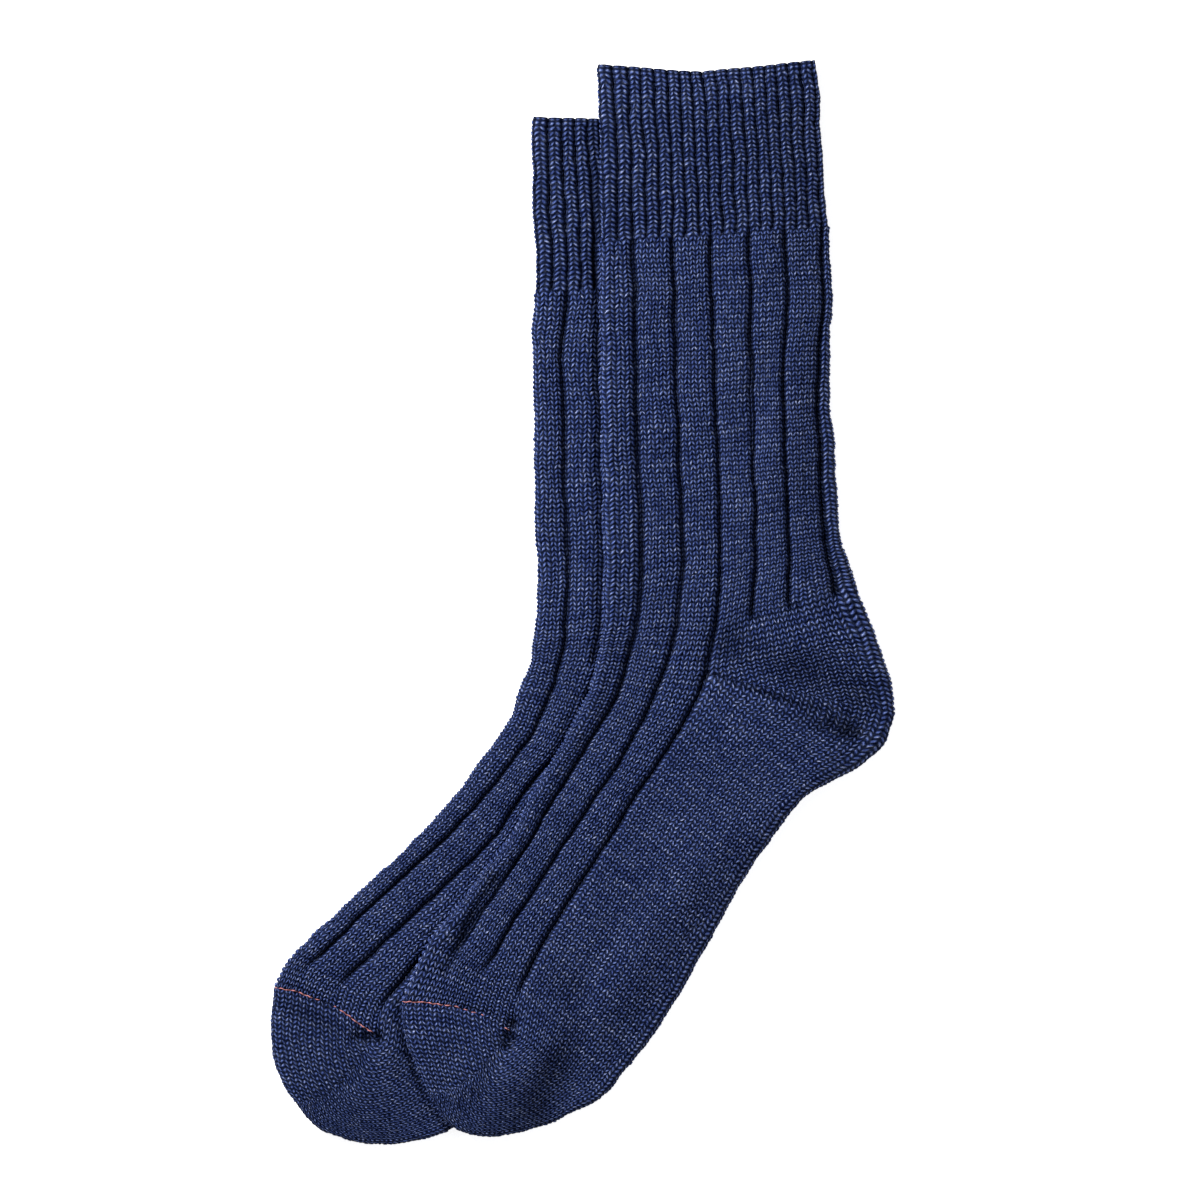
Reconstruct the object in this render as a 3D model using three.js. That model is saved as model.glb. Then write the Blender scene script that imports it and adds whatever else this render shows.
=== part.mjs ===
// A pair of rib-knit crew socks laid flat, the front sock lying on the back one.
// Millimetres, +Z up off the surface, +Y towards the mouths, +X to the heels.
import * as THREE from 'three';

// Cloth
const clothTop = 5.2;           // both layers of a flat sock together, over the plain knit
const wall = 2.2;               // one layer
const innerInset = 3.4;         // from the folded edge to the hollow between the layers
const foldRadius = 2.4;         // how far the folded edge takes to round over
const crown = 0.25;             // how far a wide rib swells above its edges
const clothGap = 0.45;          // between the back sock's highest rib and the front sock
const settle = 22;              // how far the front sock takes to come down off the back one
const settleStart = 1.5;        // it starts this far outside the back sock's edge

// Wales on the face that shows. Every sixth one from waleFirst is a groove of the wide rib.
const waleFirst = 1;
const waleLast = 37;
const ribWales = 6;
const sideWale = 18;
const lastGroove = 36;
const backShares = { 24: 0.664, 30: 0.81, 36: 0.97 };
const undersideColumns = 9;
const hollowColumns = 6;

// Sections, from the mouth to the toe. Each runs from the instep fold, over the side of the ankle,
// to the fold at the back of the leg, the heel and the sole. Places are measured from the middle of
// the picture. groove1 and groove2 are the shares of the section at which the first two grooves lie.
// cuff, heel and instep are the depths of the narrow ribs, of the wide ones behind the side and of
// those in front of it. top is the height of the cloth and steps the rings up to the next section.
const columns = 'foldX foldY sideX sideY backX backY groove1 groove2 cuff heel instep top steps';

const frontSections = readSections(columns, [
  [-1.5, 202, 39, 200.5, 83, 205, 0.15, 0.33, 0.9, 0, 0, clothTop, 2],
  [-1, 188.5, 40, 187.5, 84, 191, 0.15, 0.33, 0.9, 0, 0, clothTop, 2],
  [0, 167, 41, 168.5, 85, 172, 0.15, 0.33, 0.9, 0, 0, clothTop, 2],
  [0, 137, 42, 140, 86.5, 143.5, 0.15, 0.33, 0.9, 0, 0, clothTop, 1],
  [0, 133.5, 42, 136.5, 86.5, 140, 0.15, 0.33, 0, 1, 1, clothTop, 1],
  [0, 114, 42.5, 117, 88, 120.5, 0.15, 0.33, 0, 1, 1, clothTop, 2],
  [0.5, 80, 43.5, 83, 87, 86.5, 0.15, 0.33, 0, 1, 1, clothTop, 2],
  [1, 45.5, 45, 49.5, 89, 54, 0.15, 0.33, 0, 1, 1, clothTop, 2],
  [1.5, 15, 45, 20, 91, 27, 0.15, 0.32, 0, 1, 1, clothTop, 2],
  [1, -11, 44.5, -8.5, 96.5, 7, 0.15, 0.32, 0, 0.3, 1, clothTop, 1],
  [0.5, -20, 43, -28, 104.3, -13, 0.14, 0.31, 0, 0, 1, clothTop, 1],
  [0, -21.5, 42.5, -29.5, 111, -34, 0.14, 0.31, 0, 0, 1, clothTop, 1],
  [-0.5, -23, 42, -31, 112, -42.5, 0.13, 0.3, 0, 0, 1, clothTop, 1],
  [-0.8, -24.5, 41.5, -32.2, 108.5, -53.5, 0.13, 0.3, 0, 0, 1, clothTop, 1],
  [-1, -25.5, 41, -33.4, 99.5, -62.5, 0.13, 0.3, 0, 0, 1, clothTop, 1],
  [-1.5, -27, 40.5, -34.6, 90.5, -67.5, 0.13, 0.29, 0, 0, 1, clothTop, 1],
  [-5.5, -37, 30.5, -46.5, 77.5, -75, 0.12, 0.28, 0, 0, 1, clothTop, 2],
  [-14.5, -53, 19, -64.5, 64, -91.5, 0.11, 0.27, 0, 0, 1, clothTop, 1],
  [-21.5, -65.5, 8.5, -81.5, 52.5, -110, 0.1, 0.26, 0, 0, 1, clothTop, 2],
  [-37, -94, -10.5, -112, 34, -143, 0.1, 0.25, 0, 0, 1, clothTop, 1],
  [-48, -109, -21, -129, 22.5, -162, 0.1, 0.25, 0, 0, 0.9, clothTop, 1],
  [-56.5, -119.5, -28.5, -142.5, 13, -175, 0.1, 0.25, 0, 0, 0.6, clothTop, 1],
  [-69, -137, -36, -156, 4.5, -185.5, 0.1, 0.25, 0, 0, 0, clothTop, 1],
  [-75, -154, -45, -169, -10.5, -194.5, 0.1, 0.25, 0, 0, 0, clothTop, 1],
  [-73.5, -167, -49.5, -180.5, -23, -200, 0.1, 0.25, 0, 0, 0, 5.1, 1],
  [-69, -179.5, -52.5, -189, -34, -202.5, 0.1, 0.25, 0, 0, 0, 5, 1],
  [-63, -189, -54.5, -195, -44.5, -203, 0.1, 0.25, 0, 0, 0, 4.8, 1],
  [-57.7, -196, -55, -198, -52, -201, 0.1, 0.25, 0, 0, 0, 4.4, 1],
]);

const backSections = readSections(columns, [
  [-26, 182, 13.5, 181, 58, 183, 0.15, 0.33, 0.9, 0, 0, clothTop, 1],
  [-26.5, 171, 14.5, 171, 59, 172.5, 0.15, 0.33, 0.9, 0, 0, clothTop, 1],
  [-25.5, 146, 16.5, 147, 61, 149.5, 0.15, 0.33, 0.9, 0, 0, clothTop, 1],
  [-24.7, 118.5, 17.5, 120, 62, 122.5, 0.15, 0.33, 0.9, 0, 0, clothTop, 1],
  [-24.7, 115, 17.5, 116.5, 62, 119, 0.15, 0.33, 0, 1, 1, clothTop, 1],
  [-25.5, 97, 17.5, 99, 62.5, 101.5, 0.15, 0.33, 0, 1, 1, clothTop, 1],
  [-24.7, 68.5, 18, 70.5, 62.5, 73.5, 0.15, 0.33, 0, 1, 1, clothTop, 1],
  [-24.7, 38, 19, 41, 63.5, 45, 0.15, 0.33, 0, 1, 1, clothTop, 1],
  [-23.5, 9.5, 20, 13, 65, 19, 0.15, 0.32, 0, 1, 1, clothTop, 1],
  [-24.5, -12, 19, -10.5, 72, 0, 0.15, 0.32, 0, 0.3, 1, clothTop, 1],
  [-26, -26, 16.5, -33.5, 80.5, -20, 0.14, 0.31, 0, 0, 1, clothTop, 1],
  [-26.5, -27.5, 16, -35, 85.5, -38, 0.14, 0.31, 0, 0, 1, clothTop, 1],
  [-27.3, -29, 15.5, -36.3, 86, -48.5, 0.13, 0.3, 0, 0, 1, clothTop, 1],
  [-28, -30.3, 15, -37.5, 81.7, -59.5, 0.13, 0.3, 0, 0, 1, clothTop, 1],
  [-28.5, -31.5, 14.5, -38.7, 73, -68.5, 0.13, 0.3, 0, 0, 1, clothTop, 1],
  [-29, -32.6, 14, -40, 64, -73.5, 0.13, 0.29, 0, 0, 1, clothTop, 1],
  [-34.5, -45.5, 0, -58, 42, -90.5, 0.12, 0.28, 0, 0, 1, clothTop, 1],
  [-46, -62.5, -15, -76, 24.5, -111.5, 0.11, 0.27, 0, 0, 1, clothTop, 1],
  [-61, -81.5, -32.5, -100.5, 6.5, -137, 0.1, 0.26, 0, 0, 1, clothTop, 1],
  [-80, -100.5, -53.5, -123.5, -15, -160, 0.1, 0.25, 0, 0, 1, clothTop, 1],
  [-100.5, -119.5, -74.5, -143.5, -35.5, -180, 0.1, 0.25, 0, 0, 0.9, clothTop, 1],
  [-110.5, -129, -85.5, -153, -46.5, -192, 0.1, 0.25, 0, 0, 0.6, clothTop, 1],
  [-119.5, -140.5, -94, -164, -56, -201, 0.1, 0.25, 0, 0, 0, clothTop, 1],
  [-125, -156, -101.5, -175.5, -71.5, -206, 0.1, 0.25, 0, 0, 0, clothTop, 1],
  [-125, -169, -107, -184, -85.5, -207, 0.1, 0.25, 0, 0, 0, 5.1, 1],
  [-122.5, -181.5, -110.5, -190.5, -97, -204.5, 0.1, 0.25, 0, 0, 0, 5, 1],
  [-117, -191, -111, -194.5, -104, -202, 0.1, 0.25, 0, 0, 0, 4.8, 1],
  [-113, -195.5, -111, -197, -108.5, -199.5, 0.1, 0.25, 0, 0, 0, 4.4, 1],
]);

function readSections(names, rows) {
  const keys = names.split(' ');
  return rows.map((row) => Object.fromEntries(keys.map((key, i) => [key, row[i]])));
}

// One value of the sections at a place between two of them, on a smooth curve through all of them.
function smoothValue(sections, key, index, share) {
  const at = (i) => sections[Math.min(Math.max(i, 0), sections.length - 1)][key];
  const [before, start, end, after] = [at(index - 1), at(index), at(index + 1), at(index + 2)];
  const startSlope = (end - before) / 2;
  const endSlope = (after - start) / 2;
  const square = share * share;
  const cube = square * share;
  return start * (2 * cube - 3 * square + 1) + startSlope * (cube - 2 * square + share)
    + end * (3 * square - 2 * cube) + endSlope * (cube - square);
}

function makeStations(sections) {
  const stations = [];
  sections.slice(0, -1).forEach((section, index) => {
    for (let step = 0; step < section.steps; step += 1) {
      const share = step / section.steps;
      const entries = Object.keys(section).map((key) => [key, smoothValue(sections, key, index, share)]);
      stations.push(Object.fromEntries(entries));
    }
  });
  stations.push(sections[sections.length - 1]);
  return stations;
}

// The share of the section at which a wale lies, straight between the grooves.
function shareOfWale(station, wale) {
  const knots = [[waleFirst, 0], [6, station.groove1], [12, station.groove2], [sideWale, 0.5]];
  Object.entries(backShares).forEach(([groove, share]) => knots.push([Number(groove), share]));
  knots.push([waleLast, 1]);
  const next = Math.max(1, knots.findIndex(([knot]) => knot >= wale));
  const [fromWale, fromShare] = knots[next - 1];
  const [toWale, toShare] = knots[next];
  return fromShare + (toShare - fromShare) * (wale - fromWale) / (toWale - fromWale);
}

function placeOnSection(station, share) {
  const fold = new THREE.Vector2(station.foldX, station.foldY);
  const side = new THREE.Vector2(station.sideX, station.sideY);
  const back = new THREE.Vector2(station.backX, station.backY);
  return share < 0.5 ? fold.lerp(side, share * 2) : side.lerp(back, share * 2 - 1);
}

function sectionWidth(station) {
  const toSide = Math.hypot(station.sideX - station.foldX, station.sideY - station.foldY);
  return toSide + Math.hypot(station.backX - station.sideX, station.backY - station.sideY);
}

// How much lower a wale lies than the plain knit, and how far a wide rib swells.
function reliefOfWale(station, wale) {
  const isPurlOfCuff = wale % 2 === 0;
  const fromGroove = wale % ribWales;
  const wideDepth = wale > sideWale ? station.heel : station.instep;
  const swell = crown * Math.sin(Math.PI * fromGroove / ribWales) * wideDepth;
  const cuffDrop = isPurlOfCuff ? station.cuff : 0;
  const wideDrop = fromGroove === 0 && wale <= lastGroove ? wideDepth : 0;
  return swell - cuffDrop - wideDrop;
}

// Rounds the folded edge over: 0 at the fold itself and 1 on the flat cloth.
function roundOver(fromEdge) {
  const inside = Math.min(fromEdge / foldRadius, 1);
  return Math.sqrt(1 - (1 - inside) ** 2);
}

// The closed loop of one ring outside: over the face from fold to fold, and back along the flat underside.
function outerRing(station) {
  const middle = station.top / 2;
  const width = sectionWidth(station);
  const ring = [];
  for (let wale = waleFirst; wale <= waleLast; wale += 1) {
    const share = shareOfWale(station, wale);
    const round = roundOver(Math.min(share, 1 - share) * width);
    const height = middle + middle * round + reliefOfWale(station, wale) * round;
    ring.push({ spot: placeOnSection(station, share), height, turn: share / 2 });
  }
  for (let column = 0; column < undersideColumns; column += 1) {
    const inset = Math.min(foldRadius, width / 4) / width;
    const share = 1 - inset - (1 - 2 * inset) * column / (undersideColumns - 1);
    ring.push({ spot: placeOnSection(station, share), height: 0, turn: 1 - share / 2 });
  }
  return ring;
}

// The closed loop of the thin hollow between the two layers.
function innerRing(station) {
  const width = sectionWidth(station);
  const inset = Math.min(innerInset / width, 0.3);
  const ring = [];
  const add = (share, height, turn) => ring.push({ spot: placeOnSection(station, share), height, turn });
  const count = hollowColumns + 1;
  for (let column = 0; column < count; column += 1) {
    const share = inset + (1 - 2 * inset) * column / count;
    add(share, column === 0 ? station.top / 2 : station.top - wall, share / 2);
  }
  for (let column = 0; column < count; column += 1) {
    const share = 1 - inset - (1 - 2 * inset) * column / count;
    add(share, column === 0 ? station.top / 2 : wall, 1 - share / 2);
  }
  return ring;
}

// The outline of a sock seen from above, for the cloth that lies over it.
function outlineOf(sections) {
  const folds = sections.map((row) => new THREE.Vector2(row.foldX, row.foldY));
  const backs = sections.map((row) => new THREE.Vector2(row.backX, row.backY));
  return folds.concat(backs.reverse());
}

function distanceToEdge(spot, start, end) {
  const along = end.clone().sub(start);
  const share = THREE.MathUtils.clamp(spot.clone().sub(start).dot(along) / along.lengthSq(), 0, 1);
  return spot.distanceTo(start.clone().addScaledVector(along, share));
}

// Distance outside an outline, 0 anywhere inside it.
function distanceOutside(spot, outline) {
  let inside = false;
  let nearest = Infinity;
  outline.forEach((start, i) => {
    const end = outline[(i + 1) % outline.length];
    nearest = Math.min(nearest, distanceToEdge(spot, start, end));
    const crosses = (start.y > spot.y) !== (end.y > spot.y);
    const crossX = start.x + (end.x - start.x) * (spot.y - start.y) / (end.y - start.y);
    if (crosses && spot.x < crossX) inside = !inside;
  });
  return inside ? 0 : nearest;
}

// The surface that the front sock lies on: up over the back sock and softly down to the table beside it.
function makeLift(outline, height) {
  return (spot) => {
    const past = (distanceOutside(spot, outline) - settleStart) / settle;
    return height * (1 - THREE.MathUtils.smoothstep(past, 0, 1));
  };
}

const flatTable = () => 0;

// The knitted wall of one sock as a single closed mesh: outside, hollow, mouth rim and closed toe.
function makeSock(sections, lift) {
  const stations = makeStations(sections);
  const hollowStations = stations.slice(0, -2);
  const points = [];
  const triangles = [];
  const addRing = (ring) => ring.map(({ spot, height }) => {
    points.push(spot.x, spot.y, height + lift(spot));
    return points.length / 3 - 1;
  });
  const join = (first, second, inward) => first.forEach((_, i) => {
    const next = (i + 1) % first.length;
    const [a, b, c, d] = [first[i], first[next], second[next], second[i]];
    if (inward) triangles.push(a, b, c, a, c, d);
    else triangles.push(a, c, b, a, d, c);
  });
  const close = (ring, inward) => {
    const middle = [0, 1, 2].map((axis) => ring.reduce((sum, i) => sum + points[i * 3 + axis], 0) / ring.length);
    points.push(...middle);
    const tip = points.length / 3 - 1;
    ring.forEach((from, i) => {
      const to = ring[(i + 1) % ring.length];
      triangles.push(...(inward ? [from, to, tip] : [from, tip, to]));
    });
  };
  const outerShapes = stations.map(outerRing);
  const innerShapes = hollowStations.map(innerRing);
  const outer = outerShapes.map(addRing);
  const inner = innerShapes.map(addRing);
  outer.slice(1).forEach((ring, i) => join(outer[i], ring, false));
  inner.slice(1).forEach((ring, i) => join(inner[i], ring, true));
  close(outer[outer.length - 1], false);
  close(inner[inner.length - 1], true);
  triangles.push(...mouthRim(outer[0], outerShapes[0], inner[0], innerShapes[0]));
  const geometry = new THREE.BufferGeometry();
  geometry.setAttribute('position', new THREE.Float32BufferAttribute(points, 3));
  geometry.setIndex(triangles);
  geometry.computeVertexNormals();
  return geometry;
}

// Joins the many points of the outer loop to the few of the inner one, in the order they come round.
function mouthRim(outer, outerShape, inner, innerShape) {
  const triangles = [];
  const turnOf = (shape, i) => (i === shape.length ? 1 : shape[i].turn);
  let [i, j] = [0, 0];
  while (i < outer.length || j < inner.length) {
    const a = outer[i % outer.length];
    const b = inner[j % inner.length];
    const outerNext = i < outer.length ? turnOf(outerShape, i + 1) : Infinity;
    const innerNext = j < inner.length ? turnOf(innerShape, j + 1) : Infinity;
    if (outerNext <= innerNext) {
      i += 1;
      triangles.push(a, outer[i % outer.length], b);
    } else {
      j += 1;
      triangles.push(a, inner[j % inner.length], b);
    }
  }
  return triangles;
}

function navyYarn(name, colour) {
  return new THREE.MeshStandardMaterial({ name, color: colour, roughness: 0.85, metalness: 0 });
}

const pileHeight = clothTop + crown + clothGap;
const backSock = new THREE.Mesh(makeSock(backSections, flatTable), navyYarn('navy yarn, back', 0x2a304e));
backSock.name = 'back_sock';
const liftOverBack = makeLift(outlineOf(backSections), pileHeight);
const frontSock = new THREE.Mesh(makeSock(frontSections, liftOverBack), navyYarn('navy yarn, front', 0x2e3556));
frontSock.name = 'front_sock';

const socks = new THREE.Group();
socks.add(backSock, frontSock);

// The origin is under the middle of the pair.
const middle = new THREE.Box3().setFromObject(socks).getCenter(new THREE.Vector3());
socks.position.set(-middle.x, -middle.y, 0);

export default socks;
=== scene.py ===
import bpy
import numpy as np
from math import pi
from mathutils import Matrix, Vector


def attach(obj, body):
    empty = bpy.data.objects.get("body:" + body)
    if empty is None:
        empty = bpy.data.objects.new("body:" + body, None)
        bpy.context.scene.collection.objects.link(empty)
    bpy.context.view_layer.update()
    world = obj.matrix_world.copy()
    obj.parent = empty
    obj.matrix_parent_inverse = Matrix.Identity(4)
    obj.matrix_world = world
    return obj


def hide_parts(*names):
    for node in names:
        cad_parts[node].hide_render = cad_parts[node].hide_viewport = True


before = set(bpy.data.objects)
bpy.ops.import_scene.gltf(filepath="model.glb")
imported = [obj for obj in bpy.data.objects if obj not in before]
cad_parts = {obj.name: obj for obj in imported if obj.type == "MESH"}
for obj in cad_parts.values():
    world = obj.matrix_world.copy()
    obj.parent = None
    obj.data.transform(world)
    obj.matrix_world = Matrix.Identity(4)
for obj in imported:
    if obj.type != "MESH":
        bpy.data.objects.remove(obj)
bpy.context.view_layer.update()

mm = 0.001
pairMiddle = np.array([-6.5, -1.0])      # middle of the pair, measured from the middle of the picture

# A flat sock. The wales are counted over the face from one fold to the other.
cloth = dict(
    foldRadius=2.6,        # half the height of the two layers
    foldReach=4.2,         # how far in from its edge a fold is still rounding
    wall=2.1,              # one layer, seen at the mouth
    course=1.8,            # height of one knitted row
    firstWale=1.25,        # on the instep fold, which runs down a leg of the first knit wale
    sideWale=18.0,         # purl wale over the ankle, between instep and sole
    lastWale=37.9,         # on the fold at the back of the leg
    rib=6,                 # five knit wales and a purl one
    toeWales=14.75,        # over the top of the toe, which is knitted looser
    cuffGrooveHalf=0.14,   # half a purl wale squeezed to this in the cuff, in wales
    legGrooveHalf=0.3,     # and in the leg
    cuffShade=0.34,        # painted shade over the drawn-in cuff, a little darker
    heelCourses=16,        # short rows on each side of the heel's gore line
    pocketTaper=0.75,      # share of a pocket's width over which its rows get shorter
)

# Shares from the back fold to the three grooves behind the ankle, at these sections.
behindAnkle = dict(
    sections=[0, 5, 6, 7, 8, 9, 10, 12],
    first=[0.05, 0.065, 0.1, 0.125, 0.13, 0.15, 0.13, 0.1],
    second=[0.375, 0.375, 0.4, 0.43, 0.435, 0.47, 0.43, 0.4],
    third=[0.675, 0.675, 0.675, 0.7, 0.7, 0.735, 0.71, 0.7],
)

# Sections from the mouth to the ball of the foot, in mm from the middle of the picture:
# instep fold, side of the ankle, back of the leg or sole, and the shares of the first two grooves.
sectionColumns = "foldX foldY sideX sideY backX backY groove1 groove2".split()
frontSections = [
    (-1.5, 202, 39, 199, 83, 203.6, 0.15, 0.33),
    (-1, 188.5, 40, 187.5, 84, 191, 0.15, 0.33),
    (0, 167, 41, 168.5, 85, 172, 0.15, 0.33),
    (0, 137, 42, 140, 86.5, 143.5, 0.15, 0.33),
    (0, 133.5, 42, 136.5, 86.5, 140, 0.15, 0.33),
    (0, 114, 42.5, 117, 88, 120.5, 0.16, 0.33),
    (0.5, 80, 43.5, 83, 87, 86.5, 0.155, 0.328),
    (1, 45.5, 45, 49.5, 89, 54, 0.16, 0.335),
    (1.5, 15, 45.8, 20, 91, 27, 0.165, 0.335),
    (1, -11, 43.9, -8.5, 96.5, 7, 0.147, 0.325),
    (-0.6, -23, 40.1, -27.1, 104.3, -13, 0.135, 0.31),   # last course before the heel pocket
    (-0.7, -23.4, 39.95, -27.7, 111, -34, 0.135, 0.31),
    (-0.8, -23.8, 39.8, -28.3, 112, -42.5, 0.135, 0.31),   # gore line of the heel
    (-0.95, -24.2, 39.6, -28.8, 108.5, -53.5, 0.135, 0.31),
    (-1.05, -24.6, 39.4, -29.4, 99.5, -62.5, 0.135, 0.31),
    (-1.2, -25, 39.2, -30, 90.5, -67.5, 0.135, 0.31),   # first course of the foot
    (-5.3, -37, 31.5, -47, 77.5, -75, 0.13, 0.31),
    (-13.2, -53, 20, -64.5, 64, -91.5, 0.125, 0.315),
    (-20.5, -65.5, 8.8, -81.5, 52.5, -110, 0.115, 0.31),
    (-37, -94, -10.5, -112, 34, -143, 0.11, 0.295),
    (-48, -109, -21, -129, 22.5, -162, 0.12, 0.29),
    (-56.5, -119.5, -28.5, -142.5, 13, -175, 0.135, 0.3),
]
backSections = [
    (-26, 182, 13.5, 181, 58, 183, 0.15, 0.33),
    (-26.5, 171, 14.5, 171, 59, 172.5, 0.15, 0.33),
    (-25.5, 146, 16.5, 147, 61, 149.5, 0.15, 0.33),
    (-24.7, 118.5, 17.5, 120, 62, 122.5, 0.15, 0.33),
    (-24.7, 115, 17.5, 116.5, 62, 119, 0.15, 0.33),
    (-25.5, 97, 17.5, 99, 62.5, 101.5, 0.128, 0.33),
    (-24.7, 68.5, 18, 70.5, 62.5, 73.5, 0.13, 0.33),
    (-24.7, 38, 19, 41, 63.5, 45, 0.132, 0.33),
    (-23.5, 9.5, 20, 13, 65, 19, 0.132, 0.32),
    (-24.5, -12, 19, -10.5, 72, 0, 0.13, 0.32),
    (-27, -27, 13.7, -33, 80.5, -20, 0.125, 0.31),
    (-27.15, -27.4, 13.55, -33.6, 85.5, -38, 0.125, 0.31),
    (-27.35, -27.8, 13.35, -34.3, 86, -48.5, 0.125, 0.31),
    (-27.5, -28.2, 13.2, -34.9, 81.7, -59.5, 0.135, 0.31),
    (-27.7, -28.7, 13, -35.6, 73, -68.5, 0.135, 0.31),
    (-27.9, -29.1, 12.8, -36.2, 64, -73.5, 0.135, 0.31),
    (-34.5, -45.5, 0, -58, 42, -90.5, 0.14, 0.31),
    (-46, -62.5, -15, -76, 24.5, -111.5, 0.14, 0.31),
    (-61, -81.5, -32.5, -100.5, 6.5, -137, 0.12, 0.305),
    (-80, -100.5, -53.5, -123.5, -15, -160, 0.095, 0.29),
    (-99.5, -118.5, -72.5, -141.5, -33, -177, 0.095, 0.285),
    (-110.5, -129, -79.5, -149.5, -39, -184, 0.1, 0.28),
]
cuffEnd, pocketStart, heelGore, footStart = 3.5, 10, 12, 15

# The toe is a pocket turned round a tuck. Its rim runs from the sole, round the tip to the seam.
# bow is how far a line from the tuck to the rim hangs below a straight one.
frontToe = dict(
    tuck=(-34.2, -162.6),
    ballFold=(-65.4, -131), ballSide=(-31.5, -152), ballBack=(6.5, -182.4),
    rim=[(1, -188.5, 0), (-9.5, -194, 1.5), (-21, -199.5, 3), (-30.5, -202, 4.5), (-40, -203.5, 5.5),
         (-47.5, -202.5, 6.5), (-54.5, -200, 7), (-61, -194, 7), (-65, -187, 6.5),
         (-69.5, -177, 3.5), (-72.5, -169, 1), (-74.5, -160.5, -1), (-75, -152, -3)],
    gore=8,
)
backToe = dict(
    tuck=(-85, -165),
    ballFold=(-118.5, -137.5), ballSide=(-83.8, -157.3), ballBack=(-41.2, -188.2),
    rim=[(-42.5, -192, 0), (-49.5, -196, 1.5), (-59, -202, 3), (-68.5, -205, 4.5), (-78, -206.5, 5.5),
         (-87.5, -206.5, 6), (-97, -204.5, 6.5), (-106.5, -201, 6.5), (-112, -195.5, 6.5),
         (-116, -191, 6.5), (-119.5, -186, 5), (-122.5, -178.5, 3), (-124.5, -169, 1.5),
         (-125, -157.5, 0), (-124, -146.5, -3)],
    gore=9,
)


def column(rows, name):
    return np.array([row[sectionColumns.index(name)] for row in rows], float)


def pairs(rows, name):
    return np.stack([column(rows, name + "X"), column(rows, name + "Y")], 1)


# Rows at real places between them, on a curve through all of them that never swings past one.
def through(rows, at):
    rows = np.asarray(rows, float)
    last = len(rows) - 1
    start = np.clip(np.floor(at).astype(int), 0, last - 1)
    t = (np.asarray(at, float) - start)[..., None]
    steps = np.diff(rows, axis=0)
    product, total = steps[:-1] * steps[1:], steps[:-1] + steps[1:]
    middle = np.where(product > 0, 2 * product / np.where(total == 0, 1, total), 0)
    slopes = np.concatenate([steps[:1], middle, steps[-1:]])
    p, q, leave, arrive = rows[start], rows[start + 1], slopes[start], slopes[start + 1]
    return (p * (2 * t**3 - 3 * t**2 + 1) + leave * (t**3 - 2 * t**2 + t)
            + q * (3 * t**2 - 2 * t**3) + arrive * (t**3 - t**2))


# The same for points, whose curve keeps its direction at each one and an even speed between two.
def throughPoints(points, at):
    points = np.asarray(points, float)
    last = len(points) - 1
    start = np.clip(np.floor(at).astype(int), 0, last - 1)
    t = (np.asarray(at, float) - start)[..., None]
    steps = np.diff(points, axis=0)
    lengths = np.maximum(np.linalg.norm(steps, axis=1, keepdims=True), 1e-6)
    ways = steps / lengths
    middle = ways[:-1] * lengths[1:] + ways[1:] * lengths[:-1]
    middle /= np.maximum(np.linalg.norm(middle, axis=1, keepdims=True), 1e-6)
    ways = np.concatenate([ways[:1], middle, ways[-1:]])
    p, q, leave, arrive = points[start], points[start + 1], ways[start], ways[start + 1]
    chord = lengths[start]
    return (p * (2 * t**3 - 3 * t**2 + 1) + leave * chord * (t**3 - 2 * t**2 + t)
            + q * (3 * t**2 - 2 * t**3) + arrive * chord * (t**3 - t**2))


def smoothStep(x):
    x = np.clip(x, 0, 1)
    return x * x * (3 - 2 * x)


# Slow unevenness of hand-laid cloth, from -1 to 1, the same in each run.
def wander(x, y, size, seed):
    total = 0
    for k in range(5):
        angle = seed * 1.7 + k * 2.4
        wave = 2 * pi / (size * (0.7 + 0.19 * k))
        total = total + np.sin((x * np.cos(angle) + y * np.sin(angle)) * wave + seed * 3.1 + k * 1.3)
    return total / 2.6


# One half of a tube, wrapped round a fold: the lines of outer (fold) and side points, the bow of
# each section, and the wale at which each section's knots lie, measured from the fold.
class clothStrip:
    def __init__(self, outer, side, bow, knotWales, knotShares):
        self.outer, self.side = np.asarray(outer, float), np.asarray(side, float)
        self.bow = np.asarray(bow, float)[:, None]
        self.knotWales, self.knotShares = np.asarray(knotWales, float), np.asarray(knotShares, float)

    # Place on the flat plan, height over the middle and outward direction of the cloth.
    def place(self, at, wales, under):
        outer, side = throughPoints(self.outer, at), throughPoints(self.side, at)
        bow = through(self.bow, at)[..., 0]
        shares = through(self.knotShares, at)
        half = np.linalg.norm(side - outer, axis=-1)
        across = (side - outer) / np.maximum(half, 1e-6)[..., None]
        high, reach = cloth["foldRadius"], cloth["foldReach"]
        quarter = pi / 2 * np.sqrt((high**2 + reach**2) / 2)
        roll = quarter - reach
        arc = np.zeros_like(half)
        for k in range(len(self.knotWales) - 1):
            low, top = self.knotWales[k], self.knotWales[k + 1]
            startArc = shares[..., k] * half + (roll if k else 0)
            endArc = shares[..., k + 1] * half + roll
            inside = np.clip((wales - low) / (top - low), 0, 1)
            arc = np.where(wales >= low, startArc + (endArc - startArc) * inside, arc)
        angle = np.minimum(arc / quarter, 1) * pi / 2
        inset = np.where(arc < quarter, reach * (1 - np.cos(angle)), arc - roll)
        share = np.clip(inset / np.maximum(half, 1e-6), 0, 1)
        plan = outer + across * inset[..., None]
        plan[..., 1] -= bow * 4 * share * (1 - share)
        height = high * np.sin(angle) * under
        level, upright = high * np.cos(angle), reach * np.sin(angle)
        length = np.hypot(level, upright)
        sideways = -across * (level / length)[..., None]
        rising = (upright / length * under)[..., None]
        return plan, height, np.concatenate([sideways, rising], -1)


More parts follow.
